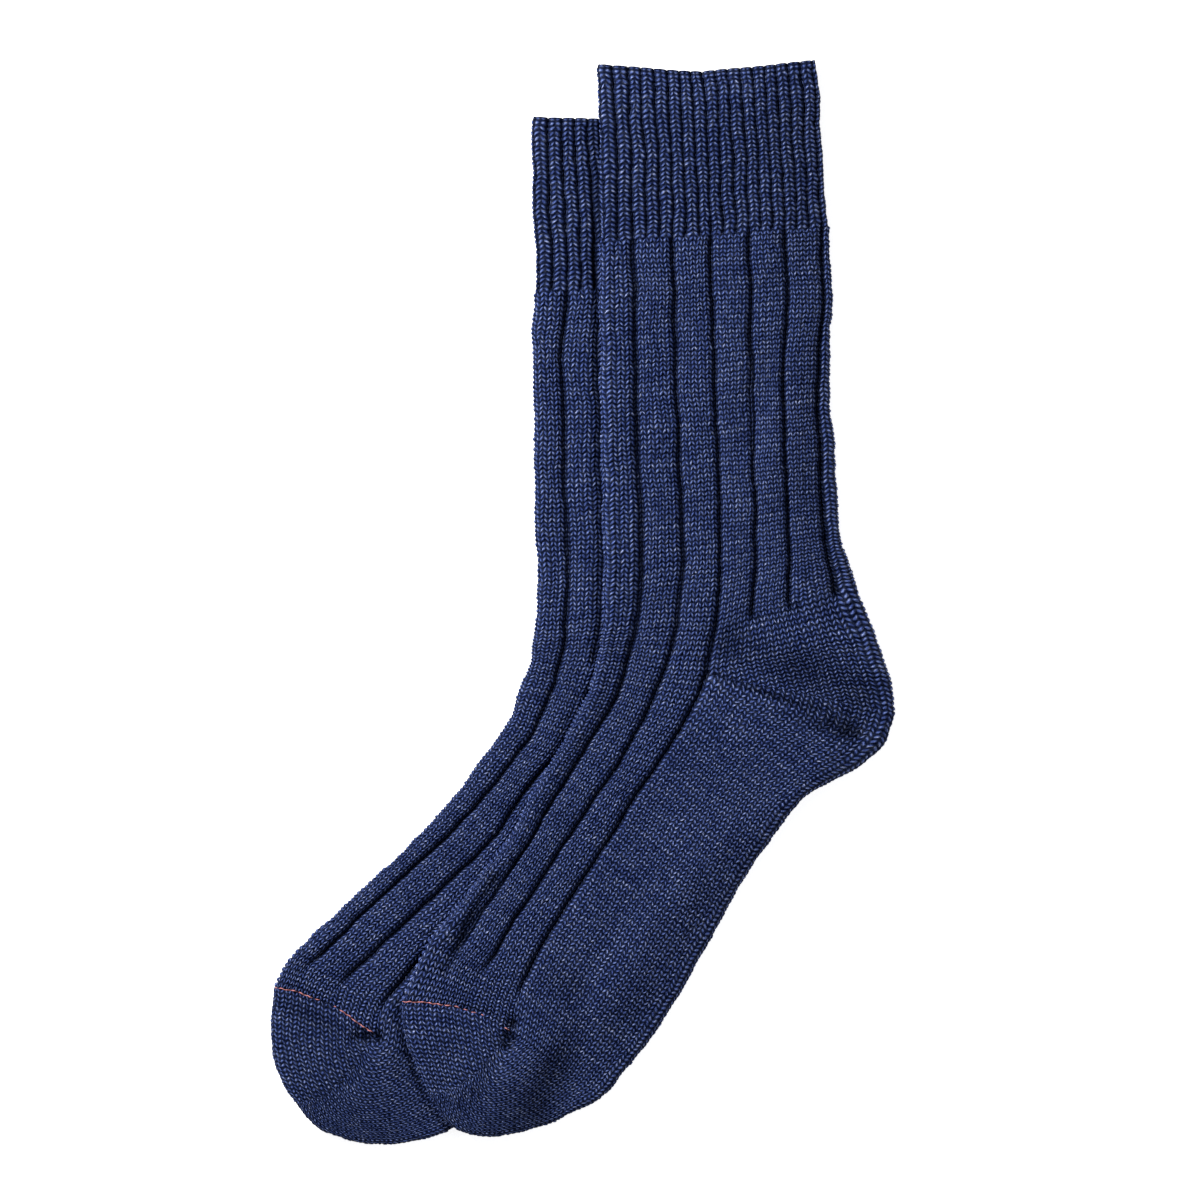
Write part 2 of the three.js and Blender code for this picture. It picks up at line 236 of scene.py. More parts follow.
# Squeezes the purl wales so that the knit ones close over them.
def squeezePurl(wales, period, half):
    start = np.floor(wales / period) * period
    inside = wales - start
    squeezed = np.interp(inside, [0, 0.5, period - 0.5, period], [0, half, period - half, period])
    return start + squeezed


stitch = dict(
    height=0.72,        # how far a strand stands above the gaps round it
    plain=0.4,          # and how much further on plain cloth, as a share
    middle=0.3,         # height left between the two legs of a stitch, as a share
    between=0.14,       # and between one row and the next
    slant=0.75,         # how far the strands of a stitch slant up to its middle, in courses
    cuffSlack=0.3,      # cuff stitches are this share flatter
    cuffGroove=1.5,     # depth of a purl wale in the cuff
    legGroove=1.75,     # and in the wide rib
    cuffPurl=0.42,      # half width of a purl wale in the cuff, in wales
    legPurl=0.7,        # and in the wide rib
    ladder=0.2,         # height of the purl loops down in a groove
    crown=0.65,         # how far a wide rib swells over its edges
    pressed=0.45,       # height of a stitch that a seam presses flat, as a share
    rows=4,             # mesh rows for a course
    uneven=0.06,        # fuzz of the strands
    sit=-0.5,           # plain cloth lies this far below the solid's face, so the strands straddle it
    legSpread=0.24,     # how much a leg's height differs from the next, as a share
    sideSpread=0.2,     # how far a stitch sits off its place, in mm
    edgeSpread=0.2,     # and how far the folds swell in and out
)


# One random number for each leg of each stitch, about -1 to 1.
def legNoise(wales, courses, seed):
    table = np.clip(np.random.default_rng(seed).normal(0, 0.55, (331, 149)), -1, 1)
    return table[np.floor(courses).astype(int) % 331, np.floor(wales * 2).astype(int) % 149]


# How much a purl wale there is at each wale, 0 to 1, and the relief over the plain cloth, given
# how far each kind of rib has faded in.
def reliefAt(wales, courses, cuffShare, wideShare):
    fromEdge = np.mod(wales + 0.5, 1)
    leg = np.interp(fromEdge, [0, 0.25, 0.5, 0.75, 1], [0, 1, stitch["middle"], 1, 0])
    strand = np.sin(pi * np.mod(courses, 1)) ** 0.7
    knit = stitch["height"] * leg * (stitch["between"] + (1 - stitch["between"]) * strand)
    knit = knit * (1 - stitch["cuffSlack"] * cuffShare + stitch["plain"] * (1 - cuffShare) * (1 - wideShare))
    fromPurl = np.abs(np.mod(wales + 1, 2) - 1)
    fromWide = np.abs(np.mod(wales + 3, 6) - 3)
    cuffPurl = cuffShare * np.exp(-(fromPurl / stitch["cuffPurl"]) ** 2)
    widePurl = wideShare * np.exp(-(fromWide / stitch["legPurl"]) ** 2)
    purl = np.maximum(cuffPurl, widePurl)
    swell = stitch["crown"] * wideShare * np.sin(pi * np.mod(wales, 6) / 6)
    sunk = stitch["cuffGroove"] * cuffPurl + stitch["legGroove"] * widePurl
    return purl, knit * (1 - purl) + stitch["ladder"] * strand * purl + swell - sunk


def outlineOf(sections, toe):
    folds, backs = pairs(sections, "fold"), pairs(sections, "back")
    rim = np.array(toe["rim"])[:, :2]
    return np.concatenate([folds, [toe["ballFold"]], rim[::-1], [toe["ballBack"]], backs[::-1]])


# Distance outside an outline, 0 inside it.
def distanceOutside(plan, outline):
    x, y = plan[..., 0], plan[..., 1]
    nearest = np.full(x.shape, 1e9)
    inside = np.zeros(x.shape, bool)
    for (ax, ay), (bx, by) in zip(outline, np.roll(outline, -1, 0)):
        dx, dy = bx - ax, by - ay
        share = np.clip(((x - ax) * dx + (y - ay) * dy) / (dx * dx + dy * dy + 1e-9), 0, 1)
        nearest = np.minimum(nearest, np.hypot(x - ax - share * dx, y - ay - share * dy))
        if ay != by:
            inside ^= ((ay > y) != (by > y)) & (x < ax + dx * (y - ay) / dy)
    return np.where(inside, 0, nearest)


# Distance to a line of points, and how far along it the nearest place is, 0 to 1.
def distanceToLine(plan, line):
    line = np.asarray(line, float)
    lengths = np.linalg.norm(np.diff(line, axis=0), axis=1)
    starts = np.concatenate([[0], np.cumsum(lengths)])
    nearest, along = np.full(plan.shape[:-1], 1e9), np.zeros(plan.shape[:-1])
    for k, (a, b) in enumerate(zip(line[:-1], line[1:])):
        share = np.clip(((plan - a) @ (b - a)) / max(lengths[k]**2, 1e-9), 0, 1)
        far = np.linalg.norm(plan - a - share[..., None] * (b - a), axis=-1)
        along = np.where(far < nearest, (starts[k] + share * lengths[k]) / starts[-1], along)
        nearest = np.minimum(nearest, far)
    return nearest, along


pile = dict(height=6.1, settle=26.0, start=1.5)     # how the front sock comes down off the back one


def liftOverBack(plan):
    past = (distanceOutside(plan, backOutline) - pile["start"]) / pile["settle"]
    return pile["height"] * (1 - smoothStep(past))


def onTable(plan):
    return np.zeros(plan.shape[:-1])


# Everything about one sock that its grids need.
def describeSock(name, sections, toe, lift, seed, creases, fineWales):
    groove1, groove2 = column(sections, "groove1"), column(sections, "groove2")
    folds, sides, backs = (pairs(sections, key) for key in ("fold", "side", "back"))
    rim = np.array(toe["rim"], float)
    count = len(sections)
    one, zero = np.ones(count), np.zeros(count)
    first, side, last = cloth["firstWale"], cloth["sideWale"], cloth["lastWale"]
    leftShares = np.stack([zero, 2 * groove1, 2 * groove2, one], 1)
    leftShares = np.concatenate([leftShares, leftShares[-1:], leftShares[-1:]])
    left = clothStrip(
        np.concatenate([folds, [toe["ballFold"]], rim[-1:, :2]]),
        np.concatenate([sides, [toe["ballSide"]], [toe["tuck"]]]),
        np.concatenate([zero, [rim[-1, 2] / 2, rim[-1, 2]]]),
        [0, 6 - first, 12 - first, side - first], leftShares)
    backKnots = [0, last - 36, last - 30, last - 24, last - side]
    legRows = np.arange(heelGore + 1)
    grooves = ("first", "second", "third")
    backShares = [np.interp(legRows, behindAnkle["sections"], behindAnkle[key]) for key in grooves]
    backShares = np.stack([0 * legRows] + backShares + [1 + 0 * legRows], 1)
    legBack = clothStrip(backs[:heelGore + 1], sides[:heelGore + 1], zero[:heelGore + 1],
                         backKnots, backShares)
    toRim = rim[:toe["gore"] + 1]
    soleOuter = np.concatenate([backs[heelGore:], [toe["ballBack"]], toRim[:, :2]])
    soleSide = np.concatenate([sides[heelGore:], [toe["ballSide"]], np.tile(toe["tuck"], (len(toRim), 1))])
    soleBow = np.concatenate([np.zeros(count - heelGore + 1), toRim[:, 2]])
    evenShares = np.array(backKnots) / backKnots[-1]
    sole = clothStrip(soleOuter, soleSide, soleBow, backKnots, np.tile(evenShares, (len(soleOuter), 1)))
    fromSeam = rim[toe["gore"]:][::-1]
    toeTop = clothStrip(
        fromSeam[:, :2], np.tile(toe["tuck"], (len(fromSeam), 1)), fromSeam[:, 2],
        [0, cloth["toeWales"] / 2, cloth["toeWales"]], np.tile([0, 0.5, 1], (len(fromSeam), 1)))
    return dict(name=name, left=left, legBack=legBack, sole=sole, toeTop=toeTop, lift=lift, seed=seed,
                creases=creases, fineWales=fineWales, ballStart=count - 1, toeGore=toe["gore"])


# Places of a strip's rows between its sections, with even courses measured half way across it.
def evenPlaces(strip, start, end, share, courses=None):
    at = np.linspace(start, end, 160)
    line = throughPoints(strip.outer, at) * (1 - share) + throughPoints(strip.side, at) * share
    run = np.concatenate([[0], np.cumsum(np.linalg.norm(np.diff(line, axis=0), axis=1))])
    courses = courses or round(run[-1] / cloth["course"])
    return courses, np.linspace(0, courses, 160), np.interp(np.linspace(0, run[-1], 160), run, at)


# Length of each wale between two sections, and its places along it.
def walesBetween(strip, start, end, wales, under):
    at = np.linspace(start, end, 60)[:, None] + np.zeros(len(wales))[None]
    plan, _, _ = strip.place(at, wales[None] + np.zeros_like(at), under[None])
    run = np.cumsum(np.linalg.norm(np.diff(plan, axis=0), axis=-1), axis=0)
    return np.concatenate([np.zeros((1, len(wales))), run]), at


# Sets the places of the rows that lie a distance along their own wale.
def followWales(at, rows, distance, lengths, places):
    for c in range(at.shape[1]):
        chosen = rows[:, c]
        travelled = np.clip(distance[chosen, c], 0, lengths[-1, c])
        at[chosen, c] = np.interp(travelled, lengths[:, c], places[:, c])


# Columns round a fold: coarse on the underside, fine over the face.
def foldColumns(total, fineFrom, fineTo):
    under = np.arange(total, 0, -0.5)
    face = [0.0]
    while face[-1] < total - 1e-6:
        fine = fineFrom <= face[-1] < fineTo
        face.append(min(face[-1] + (0.25 if fine else 0.5), total))
    wales = np.concatenate([under, face])
    side = np.concatenate([-np.ones(len(under)), np.ones(len(face))])
    return wales, side


def zigzag(wales):
    return stitch["slant"] * (np.abs(2 * np.mod(wales + 0.5, 1) - 1) - 0.5)


# How hand-laid cloth wanders, in mm: how far, and over what length.
drape = dict(
    swell=0.35, swellSize=46,      # up and down
    drift=0.35, driftSize=24,      # sideways, whole columns
    shiver=0.16, shiverSize=9,     # sideways, within a column
    foldSize=10, foldLimit=0.4,    # in and out along a fold
    underside=0.4,                 # how much of a crease the underside takes, as a share
)


# One grid of cloth: places for each row and column, turned into points. rows numbers its rows for
# cutting it into pieces, and turned says which way round its faces go.
def knitGrid(sock, strip, at, fromFold, under, rows, wales, courses, cuffShare, wideShare, clamped, turned):
    cuffWales = squeezePurl(wales, 2, cloth["cuffGrooveHalf"])
    wideWales = squeezePurl(wales, cloth["rib"], cloth["legGrooveHalf"])
    squeezed = wales + cuffShare * (cuffWales - wales) + wideShare * (wideWales - wales)
    foldWale = cloth["firstWale"] if strip is sock["left"] else cloth["lastWale"]
    squeezedFromFold = np.abs(squeezed - foldWale)
    plan, height, out = strip.place(at, squeezedFromFold, under[None])
    # the purl share starts the painted shade, darkest at the bottom of each purl wale
    hollow, relief = reliefAt(wales, courses, cuffShare, wideShare)
    spread = stitch["legSpread"] * legNoise(wales, courses, sock["seed"]) * (1 - hollow)
    relief = relief * (1 + spread) + stitch["sit"]
    rng = np.random.default_rng(sock["seed"])
    jitter = rng.normal(0, stitch["uneven"], relief.shape)
    relief = np.where(clamped, stitch["pressed"] * stitch["height"] + stitch["sit"], relief + jitter)
    facing = np.clip(out[..., 2], -1, 1)
    weight = np.clip(facing, 0, 1) + drape["underside"] * np.clip(-facing, 0, 1)
    # each crease sinks the cloth and lays painted shade along its bottom
    for line, width, depth, shade in sock["creases"]:
        far, along = distanceToLine(plan, line)
        near = np.exp(-(far / width)**2) * (0.85 + 0.15 * np.sin(along * 9 + sock["seed"]))
        relief = relief - depth * near * weight
        hollow = np.maximum(hollow, shade * near)
    # painted shade over the whole cuff
    hollow = np.maximum(hollow, cloth["cuffShade"] * cuffShare)
    peak = stitch["height"] * (1 + stitch["legSpread"]) + stitch["crown"] + stitch["sit"]
    relief = np.where(facing < 0, relief - peak * -facing, relief)
    relief = np.where(facing < -0.5, np.minimum(relief, 0), relief)
    x, y, seed = plan[..., 0], plan[..., 1], sock["seed"]
    soft = drape["swell"] * wander(x, y, drape["swellSize"], seed) * np.clip(facing, 0, 1)
    drift = [wander(x, y, drape["driftSize"], seed + 2), wander(x, y, drape["driftSize"], seed + 5)]
    drift = np.stack(drift, -1) * drape["drift"]
    drift[..., 0] += drape["shiver"] * wander(x, y, drape["shiverSize"], seed + 7)
    swelling = wander(x, y, drape["foldSize"], seed + 11) * stitch["edgeSpread"] * (1 - np.abs(facing)) ** 2
    drift += out[..., :2] * np.minimum(swelling, drape["foldLimit"])[..., None]
    off = legNoise(wales * 0.5, courses, seed + 1) * stitch["sideSpread"] * (1 + 0.6 * cuffShare)
    drift[..., 0] += np.where(clamped | (facing < 0.3), 0, off)
    points = np.empty(plan.shape[:-1] + (3,))
    points[..., :2] = plan + drift + out[..., :2] * relief[..., None]
    base = cloth["foldRadius"] + height + out[..., 2] * relief
    points[..., 2] = np.maximum(base, 0) + soft * smoothStep(base / 5) + sock["lift"](plan)
    return dict(points=points, wales=wales, courses=courses, hollow=hollow, under=under, rows=rows,
                turned=turned)


def edgeFade(at, start, end):
    return 1 - smoothStep((at - start) / (end - start))


# All grids of one sock.
def knitSock(sock):
    grids = {}
    step = 1 / stitch["rows"]
    left, legBack, sole, toeTop = sock["left"], sock["legBack"], sock["sole"], sock["toeTop"]
    cuffCourses, cuffRun, cuffAt = evenPlaces(left, 0, cuffEnd, 0.75)
    legCourses, legRun, legAt = evenPlaces(left, cuffEnd, pocketStart, 0.75)
    seamAt = len(left.outer) - 1
    footCourses, footRun, footAt = evenPlaces(left, pocketStart, seamAt, 0.6)
    legEnd = cuffCourses + legCourses
    sock.update(cuffCourses=cuffCourses, legEnd=legEnd)
    run = np.concatenate([cuffRun, cuffCourses + legRun[1:], legEnd + footRun[1:]])
    places = np.concatenate([cuffAt, legAt[1:], footAt[1:]])

    # instep side, from the mouth to the toe seam
    instepWales, backWales = cloth["sideWale"] - cloth["firstWale"], cloth["lastWale"] - cloth["sideWale"]
    fromFold, under = foldColumns(instepWales, 0, instepWales)
    rows = np.arange(0, legEnd + footCourses + 1 + step / 2, step)
    wales = (cloth["firstWale"] + fromFold)[None] + np.zeros((len(rows), 1))
    courses = rows[:, None] + np.zeros_like(wales)
    cuffShare = 1 - smoothStep(courses - cuffCourses + 0.5)
    pulled = courses + zigzag(wales) * smoothStep(courses / 1.5) * (1 - 0.1 * cuffShare)
    clamped = pulled >= legEnd + footCourses
    at = np.interp(pulled, run, places)
    wideShare = (1 - cuffShare) * edgeFade(at, sock["ballStart"] - 0.1, sock["ballStart"] + 1.45)
    grids["instep"] = knitGrid(sock, left, at, fromFold, under, rows, wales, courses,
                               cuffShare, wideShare, clamped, True)
    mouth = [(left, "instep", fromFold, under)]

    # back of the leg, down into the heel pocket as far as its gore line
    fine = sock["fineWales"]
    fromFold, under = foldColumns(backWales, backWales - fine, backWales)
    heelCourses = cloth["heelCourses"]
    wale0 = cloth["lastWale"] - fromFold
    lengths, lengthAt = walesBetween(legBack, pocketStart, heelGore, fromFold, under)
    fromSide = np.clip((1 - fromFold / backWales) / cloth["pocketTaper"], 1e-3, 1)
    rows = np.arange(0, legEnd + heelCourses + 1 + step / 2, step)
    wales = wale0[None] + np.zeros((len(rows), 1))
    courses = rows[:, None] + np.zeros_like(wales)
    cuffShare = 1 - smoothStep(courses - cuffCourses + 0.5)
    pulled = courses + zigzag(wales) * smoothStep(courses / 1.5) * (1 - 0.1 * cuffShare)
    at = np.interp(pulled, run, places)
    intoPocket = pulled - legEnd
    clamped = intoPocket >= heelCourses * fromSide[None]
    perCourse = lengths[-1] / (heelCourses * fromSide)
    followWales(at, intoPocket > 0, intoPocket * perCourse, lengths, lengthAt)
    onSide = np.exp(-((wales - cloth["sideWale"]) / 1.2) ** 2)
    wideShare = (1 - cuffShare) * np.maximum(edgeFade(at, 9.02, 9.34), onSide)
    grids["legBack"] = knitGrid(sock, legBack, at, fromFold, under, rows, wales, courses,
                                cuffShare, wideShare, clamped, False)
    mouth.append((legBack, "legBack", fromFold, under))

    # sole, from the heel's gore line to the toe's
    fromFold, under = foldColumns(backWales, 0, backWales)
    wale0 = cloth["lastWale"] - fromFold
    fromSide = np.clip((1 - fromFold / backWales) / cloth["pocketTaper"], 1e-3, 1)
    firstFull, lastFull = footStart - heelGore, len(sole.outer) - 1 - sock["toeGore"]
    soleCourses, soleRun, soleAt = evenPlaces(sole, firstFull, lastFull, 0.5)
    heelLengths, heelAt = walesBetween(sole, firstFull, 0, fromFold, under)
    toeLengths, toeAt = walesBetween(sole, lastFull, len(sole.outer) - 1, fromFold, under)
    toeCourses = int(toeLengths[-1].max() / cloth["course"]) + 2
    rows = np.arange(-heelCourses - 1, soleCourses + toeCourses + step / 2, step)
    wales = wale0[None] + np.zeros((len(rows), 1))
    courses = rows[:, None] + np.zeros_like(wales)
    pulled = courses + zigzag(wales)
    at = np.interp(pulled, soleRun, soleAt)
    clamped = -pulled >= heelCourses * fromSide[None]
    perCourse = heelLengths[-1] / (heelCourses * fromSide)
    followWales(at, pulled < 0, -pulled * perCourse, heelLengths, heelAt)
    intoToe = (pulled - soleCourses) * cloth["course"]
    followWales(at, intoToe > 0, intoToe, toeLengths, toeAt)
    clamped |= (intoToe > 0) & (intoToe >= toeLengths[-1])
    sideFade = edgeFade(at + heelGore, sock["ballStart"] - 0.1, sock["ballStart"] + 1.45)
    wideShare = np.exp(-((wales - cloth["sideWale"]) / 1.2) ** 2) * sideFade
    noCuff = np.zeros_like(wideShare)
    grids["sole"] = knitGrid(sock, sole, at, fromFold, under, rows, wales, courses,
                             noCuff, wideShare, clamped, False)
    sock.update(soleCourses=soleCourses)

    # top of the toe, from the seam down to the gore line, in fewer and larger stitches
    fromFold, under = foldColumns(cloth["toeWales"], 0, cloth["toeWales"])
    wale0 = cloth["lastWale"] - fromFold
    lengths, lengthAt = walesBetween(toeTop, 0, len(toeTop.outer) - 1, fromFold, under)
    rows = np.arange(-1, int(lengths[-1].max() / cloth["course"]) + 2 + step / 2, step)
    wales = wale0[None] + np.zeros((len(rows), 1))
    courses = rows[:, None] + np.zeros_like(wales)
    pulled = courses + zigzag(wales)
    at = np.zeros_like(pulled)
    clamped = (pulled <= 0) | (pulled * cloth["course"] >= lengths[-1])
    followWales(at, pulled > -np.inf, pulled * cloth["course"], lengths, lengthAt)
    noRib = np.zeros_like(at)
    grids["toeTop"] = knitGrid(sock, toeTop, at, fromFold, under, rows, wales, courses,
                               noRib, noRib, clamped, True)
    grids["mouth"] = mouth
    return grids


# The rolled edge of the mouth and the inside of the cuff, as rows that lead to the first course.
# Each rib ends in a small loop that stands past the purl wales beside it.
def mouthPatch(sock, strip, grid, fromFold, under):
    edge = dict(depths=[14, 7, 2.5, 0], loop=0.45, turns=7)
    wales = grid["wales"][0]
    firstWale = cloth["firstWale"] if strip is sock["left"] else cloth["lastWale"]
    squeezed = np.abs(squeezePurl(wales, 2, cloth["cuffGrooveHalf"]) - firstWale)
    rib = 1 - np.exp(-(np.abs(np.mod(wales + 1, 2) - 1) / 0.5) ** 2)
    at0 = np.zeros(len(fromFold))
    plan, height, out = strip.place(at0, squeezed, under)
    ahead, _, _ = strip.place(at0 + 0.1, squeezed, under)
    forward = plan - ahead
    forward /= np.linalg.norm(forward, axis=-1, keepdims=True)
    surface = np.concatenate([plan, (cloth["foldRadius"] + height)[:, None]], 1)
    forward = np.concatenate([forward, np.zeros((len(forward), 1))], 1)
    rise = np.stack([at0, at0, sock["lift"](plan)], 1)
    thick = np.minimum(cloth["wall"], cloth["foldRadius"] - 0.4)
    rows, hollow = [], []
    # the rows down the inside of the cuff get painted shade, and each rib's loop less where it turns out
    for depth in edge["depths"]:
        rows.append(surface - out * thick - forward * depth + rise)
        hollow.append(0.85 + 0 * rib)
    for angle in np.linspace(pi, 0, edge["turns"])[1:-1]:
        past = forward * (thick / 2 + edge["loop"] * rib[:, None]) * np.sin(angle)
        rows.append(surface - out * thick / 2 * (1 - np.cos(angle)) + past + rise)
        hollow.append(0.9 - 0.6 * rib * np.sin(angle))
    share = np.linspace(0, 1, len(rows))[:, None, None] ** 3
    rows = np.array(rows) + (grid["points"][0] - surface - rise)[None] * share
    count = len(rows)
    return dict(points=np.concatenate([rows, grid["points"][:1]]), turned=grid["turned"],
                hollow=np.concatenate([hollow, grid["hollow"][:1]]),
                wales=np.tile(wales, (count + 1, 1)),
                courses=np.tile(np.linspace(-count / 2, 0, count + 1)[:, None], (1, len(fromFold))))


def weld(points, quads):
    keys = np.round(points / 1e-4).astype(np.int64)
    _, index, inverse = np.unique(keys, axis=0, return_index=True, return_inverse=True)
    return index, inverse.reshape(-1)[quads]


# A piece of cloth out of stretches of grids, with a knit map and a flat map for the finish, and
# how much painted shade each point gets, most at the bottom of a groove or crease.
def clothPiece(name, patches, material):
    points, quads, knitMap, flatMap, hollow = [], [], [], [], []
    start = 0
    for k, patch in enumerate(patches):
        rowCount, columnCount = patch["wales"].shape
        index = start + np.arange(rowCount * columnCount).reshape(rowCount, columnCount)
        corners = [index[:-1, :-1], index[:-1, 1:], index[1:, 1:], index[1:, :-1]]
        corners = corners[::-1] if patch["turned"] else corners
        quads.append(np.stack([c.reshape(-1) for c in corners], 1))
        points.append(patch["points"].reshape(-1, 3))
        hollow.append(patch["hollow"].reshape(-1))
        knitMap.append(np.stack([patch["wales"].reshape(-1), patch["courses"].reshape(-1)], 1))
        across = (np.arange(columnCount) / (columnCount - 1) * 0.96 + 0.02 + k) / len(patches)
        along = np.arange(rowCount) / (rowCount - 1) * 0.96 + 0.02
        flatMap.append(np.stack(np.meshgrid(across, along), -1).reshape(-1, 2))
        start += rowCount * columnCount
    points, quads, hollow = np.concatenate(points), np.concatenate(quads), np.concatenate(hollow)
    knitMap, flatMap = np.concatenate(knitMap), np.concatenate(flatMap)
    index, welded = weld(points, quads)
    points, hollow = points[index], hollow[index]
    points[:, :2] -= pairMiddle
    # rows that end on a gore line leave quads with joined corners, which become triangles
    corner = welded != np.roll(welded, -1, axis=1)
    folded = (welded[:, 0] == welded[:, 2]) | (welded[:, 1] == welded[:, 3])
    real = (corner.sum(1) >= 3) & ~folded
    corner = corner[real]
    loops = welded[real][corner]
    knitLoops, flatLoops = knitMap[quads[real][corner]], flatMap[quads[real][corner]]
    counts = corner.sum(1).astype(np.int32)
    mesh = bpy.data.meshes.new(name)
    mesh.vertices.add(len(points))
    mesh.vertices.foreach_set("co", (points * mm).astype(np.float32).reshape(-1))
    mesh.loops.add(len(loops))
    mesh.loops.foreach_set("vertex_index", loops.astype(np.int32))
    mesh.polygons.add(len(counts))
    mesh.polygons.foreach_set("loop_start", (np.cumsum(counts) - counts).astype(np.int32))
    mesh.polygons.foreach_set("loop_total", counts)
    mesh.update(calc_edges=True)
    for mapName, places in (("knit", knitLoops), ("OFBake", flatLoops)):
        layer = mesh.uv_layers.new(name=mapName)
        layer.data.foreach_set("uv", places.astype(np.float32).reshape(-1))
    paintedDarkening = mesh.attributes.new("hollow", "FLOAT", "POINT")
    paintedDarkening.data.foreach_set("value", hollow.astype(np.float32))
    mesh.validate()
    mesh.polygons.foreach_set("use_smooth", np.ones(len(mesh.polygons), bool))
    mesh.materials.append(material)
    piece = bpy.data.objects.new(name, mesh)
    bpy.context.collection.objects.link(piece)
    return piece


# The rows of a grid from one course to another.
def stretch(grid, low, high):
    rows = np.flatnonzero((grid["rows"] >= low - 1e-6) & (grid["rows"] <= high + 1e-6))
    kept = {key: grid[key][rows] for key in ("points", "wales", "courses", "hollow")}
    return dict(turned=grid["turned"], **kept)


def toLinear(hexColour):
    channels = [int(hexColour[k:k + 2], 16) / 255 for k in (1, 3, 5)]
    return [c / 12.92 if c <= 0.04045 else ((c + 0.055) / 1.055) ** 2.4 for c in channels] + [1]


def emptyMaterial(name):
    material = bpy.data.materials.new(name)
    material.use_nodes = True
    material.node_tree.nodes.clear()
    return material, material.node_tree


# Adds a shader node with its settings and links: settings go to its properties or its inputs.
def addNode(tree, kind, settings=None, links=None):
    node = tree.nodes.new("ShaderNode" + kind)
    for key, value in (settings or {}).items():
        if isinstance(key, int) or key in node.inputs:
            node.inputs[key].default_value = value
        else:
            setattr(node, key, value)
    for key, source in (links or {}).items():
        tree.links.new(source, node.inputs[key])
    return node
